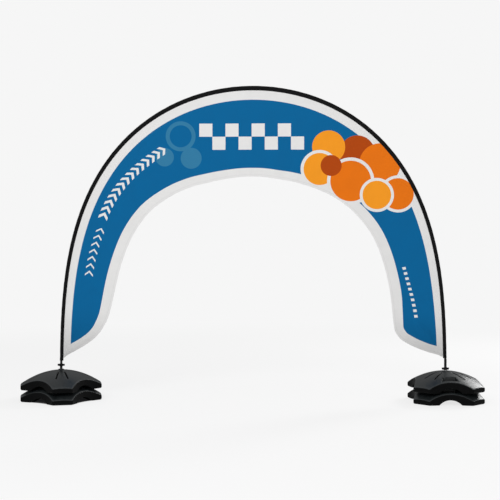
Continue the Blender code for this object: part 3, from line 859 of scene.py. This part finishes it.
def moulded_plastic(name, roughness, specular, dark, light, painted_light_share):
    """Charcoal moulded plastic with a fine grain, patches of dust, worn rims that are partly a painted
    highlight, and painted shade in its grooves and recess.
    """
    shader = Shader(name, roughness, Specular_IOR_Level=specular)
    place = shader.place()
    rim = shader.attribute("rim")
    cut = shader.attribute("cut")
    dust = shader.noise(place, 9.0, 6.0, 0.62)
    grain = shader.noise(place, 900.0, 2.0, 0.6)
    scuffs = shader.noise(shader.vector("MULTIPLY", place, (70.0, 240.0, 120.0)), 1.0, 4.0, 0.7)
    colour = shader.blend(shader.step(dust, 0.3, 0.7), dark, light)
    # rims: real wear and partly a painted highlight, stronger on the lit copy
    worn_and_lit_rims = shader.times(rim, shader.step(scuffs, 0.42, 0.70, 0.20, 0.75))
    colour = shader.blend(shader.times(worn_and_lit_rims, painted_light_share), colour, (0.070, 0.076, 0.080))
    specks = shader.step(shader.noise(place, 160.0, 3.0, 0.7), 0.68, 0.78, 0.0, 0.25 * painted_light_share)
    colour = shader.blend(specks, colour, (0.080, 0.083, 0.085))
    # painted shade: the grooves and the recess go near black
    colour = shader.blend(shader.times(cut, 0.92), colour, (0.0010, 0.0010, 0.0011))
    rough = shader.step(dust, 0.25, 0.75, roughness - 0.05, roughness + 0.08)
    normal = shader.bump(grain, 0.00035, 0.30)
    normal = shader.bump(scuffs, 0.00060, 0.12, normal)
    return shader.finish(colour, shader.plus(rough, shader.times(cut, 0.30)), normal)


def ray_angles():
    """Angles of the rays round a weight, close where grooves and recess walls lie."""
    eighth = np.concatenate([np.linspace(a, b, n, endpoint=False) for a, b, n in RAY_SPACING])
    quarter = np.concatenate((eighth, [45.0], 90.0 - eighth[:0:-1]))
    return np.radians(np.concatenate([quarter + 90.0 * k for k in range(4)]))


def degrees_from_lobe(angles):
    """Degrees from the middle of the nearest lobe."""
    return np.abs((np.degrees(angles) + 45.0) % 90.0 - 45.0)


def diagonals(x, y):
    """Distances along and across the line between two opposite bites."""
    return np.abs(x + y) * DIAGONAL, np.abs(x - y) * DIAGONAL


def bite_circle():
    """Distance of a bite's centre from the weight's axis, and the bite's radius."""
    reach = (LOBE_REACH + LOBE_HALF_WIDTH) * DIAGONAL - BITE_REACH
    across = (LOBE_REACH - LOBE_HALF_WIDTH) * DIAGONAL
    radius = (reach * reach + across * across) / (2.0 * reach)
    return BITE_REACH + radius, radius


def weight_outline(angles):
    """Plan of a weight at each ray, its corners rounded, and its outward normals."""
    bite_centre, bite_radius = bite_circle()
    fine = np.radians(np.arange(0.0, 360.0, 0.1))
    from_lobe = degrees_from_lobe(fine)
    from_bite = np.radians(45.0 - from_lobe)
    on_end = LOBE_REACH / np.cos(np.radians(from_lobe))
    aside = np.clip(bite_radius**2 - (bite_centre * np.sin(from_bite)) ** 2, 0.0, None)
    on_bite = bite_centre * np.cos(from_bite) - np.sqrt(aside)
    corner = np.degrees(np.arctan2(LOBE_HALF_WIDTH, LOBE_REACH))
    radius = np.where(from_lobe < corner, on_end, on_bite)
    spread = int(np.degrees(CORNER_ROUND / LOBE_REACH) * 10.0)
    kernel = np.cos(np.arange(-spread, spread + 1) / (spread + 1.0) * pi / 2.0) ** 2
    wrapped = np.concatenate((radius[-spread:], radius, radius[:spread]))
    radius = np.convolve(wrapped, kernel / kernel.sum(), mode="valid")

    def plan(at):
        reach = np.interp(at, fine, radius, period=2.0 * pi)
        return np.column_stack((reach * np.cos(at), reach * np.sin(at)))

    ahead = plan(angles + 0.002) - plan(angles - 0.002)
    normal = np.column_stack((ahead[:, 1], -ahead[:, 0])) / np.linalg.norm(ahead, axis=1)[:, None]
    return plan(angles), normal


def groove_height(x, y):
    """Depth of the two strokes moulded into each lobe."""
    angle = np.arctan2(y, x)
    turn = angle - np.round(angle / (pi / 2.0)) * (pi / 2.0)
    radius = np.hypot(x, y)
    along = radius * np.cos(turn) - GROOVE_INNER[0]
    across = np.abs(radius * np.sin(turn)) - GROOVE_INNER[1]
    run_x = GROOVE_OUTER[0] - GROOVE_INNER[0]
    run_y = GROOVE_OUTER[1] - GROOVE_INNER[1]
    length = hypot(run_x, run_y)
    forward = (along * run_x + across * run_y) / length
    aside = np.abs((along * run_y - across * run_x) / length)
    ends = smoothstep(-0.004, 0.006, forward) * smoothstep(-0.004, 0.006, length - forward)
    middle = 1.0 + 1.1 * np.sin(np.clip(forward / length, 0.0, 1.0) * pi)
    return GROOVE_DEPTH * middle * ends * (1.0 - smoothstep(GROOVE_WIDTH * 0.30, GROOVE_WIDTH * 0.80, aside))


def recess_share(x, y):
    """1 inside the trapezoid recesses behind two opposite bites, 0 outside them."""
    along, across = diagonals(x, y)
    outward = (along - RECESS_INNER) / (RECESS_OUTER - RECESS_INNER)
    half = RECESS_INNER_HALF + outward * (RECESS_OUTER_HALF - RECESS_INNER_HALF)
    share = (x * y > 0.0).astype(float)
    for inside in (along - RECESS_INNER, RECESS_OUTER - along, half - across):
        share *= smoothstep(-RECESS_SOFT, RECESS_SOFT, inside)
    return share


def dome_height(x, y, recessed):
    """Top without its grooves; a weight without recesses carries a boss."""
    radius = np.hypot(x, y)
    height = WEIGHT_HEIGHT - DOME_FALL * radius**2
    if recessed:
        return height
    boss = 1.0 - smoothstep(BOSS_RADIUS - 0.0075, BOSS_RADIUS, radius)
    return height + (WEIGHT_HEIGHT + BOSS_HEIGHT - height) * boss


def top_height(x, y, recessed):
    height = dome_height(x, y, recessed) - groove_height(x, y)
    if recessed:
        height += (RECESS_FLOOR - height) * recess_share(x, y)
    return height


def under_height(x, y, recessed):
    """Underside: flat foot, the hollow that nests on the next dome, and the low arches."""
    radius = (NOTCH_WIDTH**2 / 4.0 + NOTCH_HEIGHT**2) / (2.0 * NOTCH_HEIGHT)
    height = np.maximum(0.0, dome_height(x, y, recessed) - STACK_PITCH + GAP)
    for across in diagonals(x, y):
        arch = NOTCH_HEIGHT - radius + np.sqrt(np.clip(radius**2 - across**2, 0.0, None))
        height = np.maximum(height, np.where(across < radius, arch, 0.0))
    return height


def weight_piece(name, node, x, turn, level, recessed, plastics):
    """One weight as rings on rays: top, rim, wall, foot, underside and the hole."""
    angles = ray_angles()
    outline, normal = weight_outline(angles)
    hole = HOLE_RADIUS * np.column_stack((np.cos(angles), np.sin(angles)))
    rings = []
    facts = []

    def add(plan, height, rim=0.0, cut=0.0):
        rings.append(np.column_stack((plan, height)))
        facts.append(np.column_stack((np.full(len(plan), rim), np.broadcast_to(cut, len(plan)))))

    inset = outline - normal * RIM_ROUND
    for s in np.linspace(0.0, 1.0, TOP_RINGS):
        plan = hole + (inset - hole) * s
        cut = np.clip(groove_height(*plan.T) / GROOVE_DEPTH, 0.0, 1.0)
        if recessed:
            cut = np.maximum(cut, recess_share(*plan.T))
        add(plan, top_height(*plan.T, recessed), smoothstep(0.95, 1.0, s), cut)
    for t in np.radians(RIM_STEPS):
        plan = outline - normal * RIM_ROUND * (1.0 - sin(t))
        height = top_height(*plan.T, recessed) - RIM_ROUND * (1.0 - cos(t))
        add(plan, height, 1.0 - smoothstep(0.9, 1.6, t))
        if t < pi / 3.0:
            crown_rings = len(rings)
    wall_top = rings[-1][:, 2]
    at_bite = smoothstep(12.0, 21.0, degrees_from_lobe(angles))
    foot_round = END_FOOT_ROUND + (FOOT_ROUND - END_FOOT_ROUND) * at_bite
    wall_bottom = under_height(*outline.T, recessed) + foot_round
    for s in np.linspace(0.0, 1.0, WALL_RINGS + 1)[1:]:
        add(outline, wall_top + (wall_bottom - wall_top) * s)
    for t in np.radians(FOOT_STEPS):
        foot = outline - normal * (foot_round * (1.0 - cos(t)))[:, None]
        add(foot, under_height(*foot.T, recessed) + foot_round * (1.0 - sin(t)), 0.15 * sin(2.0 * t))
    for s in np.linspace(1.0, 0.0, UNDER_RINGS)[1:]:
        plan = hole + (foot - hole) * s
        add(plan, under_height(*plan.T, recessed))

    points = np.concatenate(rings)
    turned = points + (0.0, 0.0, level)
    turned[:, 0] = points[:, 0] * cos(turn) - points[:, 1] * sin(turn) + MIDDLE_X + x
    turned[:, 1] = points[:, 0] * sin(turn) + points[:, 1] * cos(turn)
    faces = grid_faces(len(rings), len(angles), close_rows=True, close_columns=True)
    crown, wall = plastics
    obj = new_piece(name, turned, faces, crown, [node], 55.0)
    obj.data.materials.append(wall)
    values = np.concatenate(facts)
    # Walls, grooves and the recess take the darker copy of the plastic: painted shade
    on_wall = np.arange(len(faces)) >= (crown_rings - 1) * len(angles)
    in_cut = values[np.asarray(faces), 1].min(axis=1) > 0.5
    obj.data.polygons.foreach_set("material_index", (on_wall | in_cut).astype(np.int32))
    point_data(obj, "rim", values[:, 0])
    point_data(obj, "cut", values[:, 1])


def blackened_steel():
    """Dark steel of the spigots, thinner on the crests of the thread."""
    shader = Shader("blackened_steel", 0.46, Metallic=0.0, Specular_IOR_Level=0.18)
    place = shader.place()
    wear = shader.noise(place, 220.0, 4.0, 0.6)
    crest = shader.attribute("crest")
    bare = shader.times(crest, shader.step(wear, 0.40, 0.65))
    colour = shader.blend(bare, (0.0028, 0.0028, 0.0030), (0.0240, 0.0236, 0.0230))
    return shader.finish(colour, shader.step(wear, 0.3, 0.7, 0.28, 0.46), shader.bump(wear, 0.0002, 0.2))


def make_spigot(name, node, x, shoulder, material):
    """Threaded stud with a shoulder that carries the pole and a pin inside its bore."""
    angles = round_angles(STUD_SIDES)
    tip = shoulder + PIN_LENGTH
    thread = np.arange(STUD_FOOT + THREAD_RELIEF, shoulder - THREAD_RELIEF, THREAD_PITCH / 8.0)
    profile = [
        (STUD_FOOT, POINT, 0.0),
        (STUD_FOOT, STUD_RADIUS - 0.002, 0.0),
        (STUD_FOOT + 0.0016, STUD_RADIUS, 0.0),
        *((height, STUD_RADIUS, 1.0) for height in thread),
        (shoulder - 0.0008, STUD_RADIUS, 0.0),
        (shoulder, STUD_RADIUS - 0.0008, 0.0),
        (shoulder, PIN_RADIUS, 0.0),
        (tip - 0.002, PIN_RADIUS, 0.0),
        (tip, PIN_RADIUS - 0.002, 0.0),
        (tip, POINT, 0.0),
    ]
    points = []
    crests = []
    for height, radius, threaded in profile:
        phase = (height / THREAD_PITCH - angles / (2.0 * pi)) % 1.0
        saw = np.abs(2.0 * phase - 1.0)
        fade = min(1.0, (height - STUD_FOOT) / THREAD_FADE, max(0.0, (shoulder - height) / THREAD_FADE))
        points.append(upright_ring(x, radius - threaded * fade * THREAD_DEPTH * saw, height, angles))
        crests.append(threaded * (1.0 - saw))
    faces = capped_faces(len(profile), STUD_SIDES)
    obj = new_piece(name, np.concatenate(points), faces, material, [node])
    point_data(obj, "crest", np.concatenate(crests))


def nut_plastic():
    shader = Shader("nut_plastic", 0.44, Specular_IOR_Level=0.16)
    place = shader.place()
    grain = shader.noise(place, 1500.0, 2.0)
    tone = shader.noise(place, 90.0, 3.0)
    colour = shader.blend(shader.step(tone, 0.3, 0.7), (0.0020, 0.0020, 0.0021), (0.0040, 0.0040, 0.0042))
    return shader.finish(colour, shader.step(tone, 0.3, 0.7, 0.36, 0.50), shader.bump(grain, 0.0003, 0.3))


def turned_profile(profile, x):
    """Ring solid turned about an upright axis from a closed profile of (radius, height)."""
    angles = round_angles(RING_SIDES)
    rings = [upright_ring(x, radius, height, angles) for radius, height in profile]
    return np.concatenate(rings), grid_faces(len(rings), RING_SIDES, close_rows=True, close_columns=True)


def rounded_ring(inner, outer, bottom, top, round_by):
    """Closed section of a flat ring with its edges rounded."""
    corners = (
        (outer - round_by, bottom + round_by),
        (outer - round_by, top - round_by),
        (inner + round_by, top - round_by),
        (inner + round_by, bottom + round_by),
    )
    return [
        (radius + round_by * cos(angle), height + round_by * sin(angle))
        for quarter, (radius, height) in enumerate(corners)
        for angle in np.radians(np.linspace(-90.0, 0.0, 5) + 90.0 * quarter)
    ]


def wing_points(x, middle, side):
    """One wing: rounded sections from inside the hub's wall out to the tip."""
    angles = round_angles(WING_SIDES)
    out, up = (np.sign(wave) * np.abs(wave) ** 0.75 for wave in (np.cos(angles), np.sin(angles)))
    rings = []
    for s in np.linspace(0.0, 1.0, WING_SECTIONS):
        along = WING_ROOT + (WING_REACH - WING_ROOT) * (1.0 - (1.0 - s) ** 1.6)
        taper = (1.0 - s**6) ** 0.5 if s < 1.0 else 0.05
        low, high, half_depth = (a + (b - a) * s for a, b in (WING_BOTTOM, WING_TOP, WING_HALF_DEPTH))
        low -= WING_BELLY * sin(pi * s)
        height = middle + (low + high) / 2.0 + (high - low) / 2.0 * taper * up
        reach = np.full(WING_SIDES, MIDDLE_X + x + side * along)
        rings.append(np.column_stack((reach, side * half_depth * taper * out, height)))
    return np.concatenate(rings), capped_faces(WING_SECTIONS, WING_SIDES)


def make_wing_nut(name, node, x, bottom, material):
    """Rounded hub and two tapered wings, joined into one closed solid."""
    middle = bottom + NUT_HEIGHT / 2.0
    section = rounded_ring(NUT_HOLE, NUT_HUB_RADIUS, bottom, bottom + NUT_HEIGHT, 0.0016)
    parts = (turned_profile(section, x), wing_points(x, middle, -1.0), wing_points(x, middle, 1.0))
    objects = [mesh_object(f"{name}_{index}", *part) for index, part in enumerate(parts)]
    hub = objects[0]
    for wing in objects[1:]:
        join = hub.modifiers.new("Wing", "BOOLEAN")
        join.operation = "UNION"
        join.solver = "EXACT"
        join.object = wing
    bpy.context.view_layer.update()
    graph = bpy.context.evaluated_depsgraph_get()
    joined = bpy.data.meshes.new_from_object(hub.evaluated_get(graph), depsgraph=graph)
    points = [tuple(vertex.co) for vertex in joined.vertices]
    faces = [tuple(polygon.vertices) for polygon in joined.polygons]
    for obj in objects:
        bpy.data.objects.remove(obj, do_unlink=True)
    bpy.data.meshes.remove(joined)
    new_piece(name, points, faces, material, [node], 50.0)


def zinc_plate():
    shader = Shader("zinc_plate", 0.28, Metallic=1.0)
    place = shader.place()
    swirl = shader.noise(place, 260.0, 4.0, 0.6)
    colour = shader.blend(shader.step(swirl, 0.35, 0.65), (0.52, 0.53, 0.54), (0.72, 0.72, 0.71))
    return shader.finish(colour, shader.step(swirl, 0.3, 0.7, 0.22, 0.36), shader.bump(swirl, 0.0001, 0.3))


def make_washer(material):
    bottom = STACK_TOP + GAP
    profile = rounded_ring(NUT_HOLE, WASHER_RADIUS, bottom, bottom + WASHER_HEIGHT, 0.0008)
    points, faces = turned_profile(profile, HALF_SPAN)
    new_piece("spigot_washer", points, faces, material, ["right_spigot_washer"])


def stack_shade(shader, place, x, turn):
    """1 on the floor under a stack, 0 outside its lobed plan."""
    floor_x, floor_y, _ = shader.split(place)
    aside = shader.minus(floor_x, MIDDLE_X + x)
    bite_centre, bite_radius = bite_circle()
    reaches = [
        shader.math("ABSOLUTE", shader.plus(shader.times(aside, across), shader.times(floor_y, ahead)))
        for across, ahead in ((cos(turn), sin(turn)), (-sin(turn), cos(turn)))
    ]
    from_bite = [shader.minus(reach, bite_centre * DIAGONAL) for reach in reaches]
    distance = shader.math("SQRT", shader.plus(*(shader.times(length, length) for length in from_bite)))
    in_plan = shader.step(distance, bite_radius, bite_radius + SHADE_SOFT)
    in_lobes = shader.below(shader.math("MAXIMUM", *reaches), LOBE_REACH - SHADE_SOFT, SHADE_SOFT)
    return shader.times(in_plan, in_lobes)


def make_floor():
    """Pale floor that fades into the plain background far from the arch, with a painted shadow under the left
    stack.
    """
    shader = Shader("pale_floor", 0.85, Specular_IOR_Level=0.15)
    place = shader.place()
    under = stack_shade(shader, place, -HALF_SPAN, LEFT_TURN)
    sockets = shader.surface.inputs
    shader.feed(sockets["Base Color"], (FLOOR_GREY,) * 3)
    shader.feed(sockets["Emission Strength"], FLOOR_GLOW)
    # painted shadow: the floor's own glow drops near black under the left stack
    shader.feed(sockets["Emission Color"], shader.blend(under, (1.0, 1.0, 1.0), (0.012, 0.012, 0.013)))
    glow = shader.node("ShaderNodeEmission")
    shader.feed(glow.inputs["Color"], BACKDROP)
    mix = shader.mix(shader.step(shader.vector("LENGTH", place), 4.0, 11.0), shader.surface, glow)
    shader.feed(shader.tree.nodes["Material Output"].inputs["Surface"], mix)
    points = [(FLOOR_RADIUS * cos(a), FLOOR_RADIUS * sin(a), -0.0005) for a in round_angles(FLOOR_SIDES)]
    floor = mesh_object("floor", points, [tuple(range(FLOOR_SIDES))])
    floor.data.materials.append(shader.material)


def make_lights():
    for row in LIGHTS:
        data = bpy.data.lights.new(row.name, "AREA")
        data.shape = "DISK"
        data.size = row.size
        data.energy = row.power
        lamp = add_object(row.name, data)
        lamp.location = (row.x, row.y, row.z)
        aim = Vector((0.0, 0.0, AIM_HEIGHT)) - lamp.location
        lamp.rotation_euler = aim.to_track_quat("-Z", "Y").to_euler()


def make_world():
    """Even backdrop to the eye; as light it is bright overhead and dim at the sides."""
    world = bpy.data.worlds.new("studio")
    world.use_nodes = True
    world.node_tree.nodes.clear()
    nodes = Nodes(world.node_tree)
    up = nodes.split(nodes.node("ShaderNodeTexCoord").outputs["Generated"])[2]
    light = nodes.node("ShaderNodeBackground")
    nodes.feed(light.inputs["Strength"], nodes.step(up, 0.0, 0.9, 0.10, 0.70))
    plain = nodes.node("ShaderNodeBackground")
    nodes.feed(plain.inputs["Color"], BACKDROP)
    mix = nodes.mix(nodes.node("ShaderNodeLightPath").outputs["Is Camera Ray"], light, plain)
    nodes.feed(nodes.node("ShaderNodeOutputWorld").inputs["Surface"], mix)
    bpy.context.scene.world = world


def make_camera():
    data = bpy.data.cameras.new("camera")
    data.lens = CAMERA_LENS
    data.sensor_width = 36.0
    data.clip_end = 200.0
    camera = add_object("camera", data)
    aside = Vector((cos(CAMERA_AZIMUTH), sin(CAMERA_AZIMUTH), 0.0)) * -CAMERA_ASIDE
    back = Vector((sin(CAMERA_AZIMUTH), -cos(CAMERA_AZIMUTH), 0.0)) * CAMERA_DISTANCE
    camera.location = Vector((MIDDLE_X, 0.0, CAMERA_HEIGHT)) + back + aside
    camera.rotation_euler = (pi / 2.0, 0.0, CAMERA_AZIMUTH)
    bpy.context.scene.camera = camera


def flat_area():
    """Area of the banner's cut, from its width along the pole."""
    arcs = np.linspace(-TIP_LEFT, TIP_RIGHT, 4000)
    outer = np.column_stack(LINE.place(arcs, tail_reach(arcs)))
    inner = np.column_stack(LINE.place(arcs, by_side(arcs, WIDTHS)))
    ring = np.concatenate((outer, inner[::-1]))
    ahead = np.roll(ring, -1, axis=0)
    return abs(float(np.sum(ring[:, 0] * ahead[:, 1] - ahead[:, 0] * ring[:, 1]))) / 2.0


def sleeve_area():
    """Area of the sleeve's cut: round the pole and down both sides of the tail, all along the pole."""
    tail = tail_reach(np.linspace(-SLEEVE_END_LEFT, SLEEVE_END_RIGHT, 4000))
    lean = np.arccos(SLEEVE_RADIUS / tail)
    width = 2.0 * SLEEVE_RADIUS * (pi - lean) + 2.0 * tail * np.sin(lean)
    return float(width.mean()) * (SLEEVE_END_LEFT + SLEEVE_END_RIGHT)


make_camera()
make_world()
make_lights()
make_floor()
bpy.context.scene.view_settings.view_transform = "Standard"

sleeve = make_sleeve(sleeve_cloth())
banner = make_banner(printed_cloth())
make_pole(coated_tube())
# Lit and shaded copies of one plastic: the crown's lighter colour is painted light, the walls' near black
# colour is painted shade
plastics = (
    moulded_plastic("weight_crown_lit", 0.37, 0.42, (0.0088, 0.0112, 0.0122), (0.0165, 0.0200, 0.0214), 0.55),
    moulded_plastic("weight_wall_shaded", 0.62, 0.06, (0.0012, 0.0013, 0.0014), (0.0026, 0.0028, 0.0030), 0.20),
)
stacks = (("left", -HALF_SPAN, LEFT_TURN, False), ("right", HALF_SPAN, RIGHT_TURN, True))
for side, x, turn, recessed in stacks:
    for place, level in (("lower", 0.0), ("upper", STACK_PITCH)):
        weight_piece(f"{side}_{place}_weight", f"{side}_weight_{place}", x, turn, level, recessed, plastics)
steel = blackened_steel()
make_spigot("left_stud", "left_spigot", -HALF_SPAN, LEFT_SHOULDER, steel)
make_spigot("right_stud", "right_spigot", HALF_SPAN, RIGHT_SHOULDER, steel)
make_washer(zinc_plate())
nut = nut_plastic()
make_wing_nut("left_nut", "left_wing_nut", -HALF_SPAN, LEFT_SHOULDER - GAP - NUT_HEIGHT, nut)
make_wing_nut("right_nut", "right_wing_nut", HALF_SPAN, STACK_TOP + 2.0 * GAP + WASHER_HEIGHT, nut)

sleeve_area()
flat_area()

bpy.context.view_layer.update()
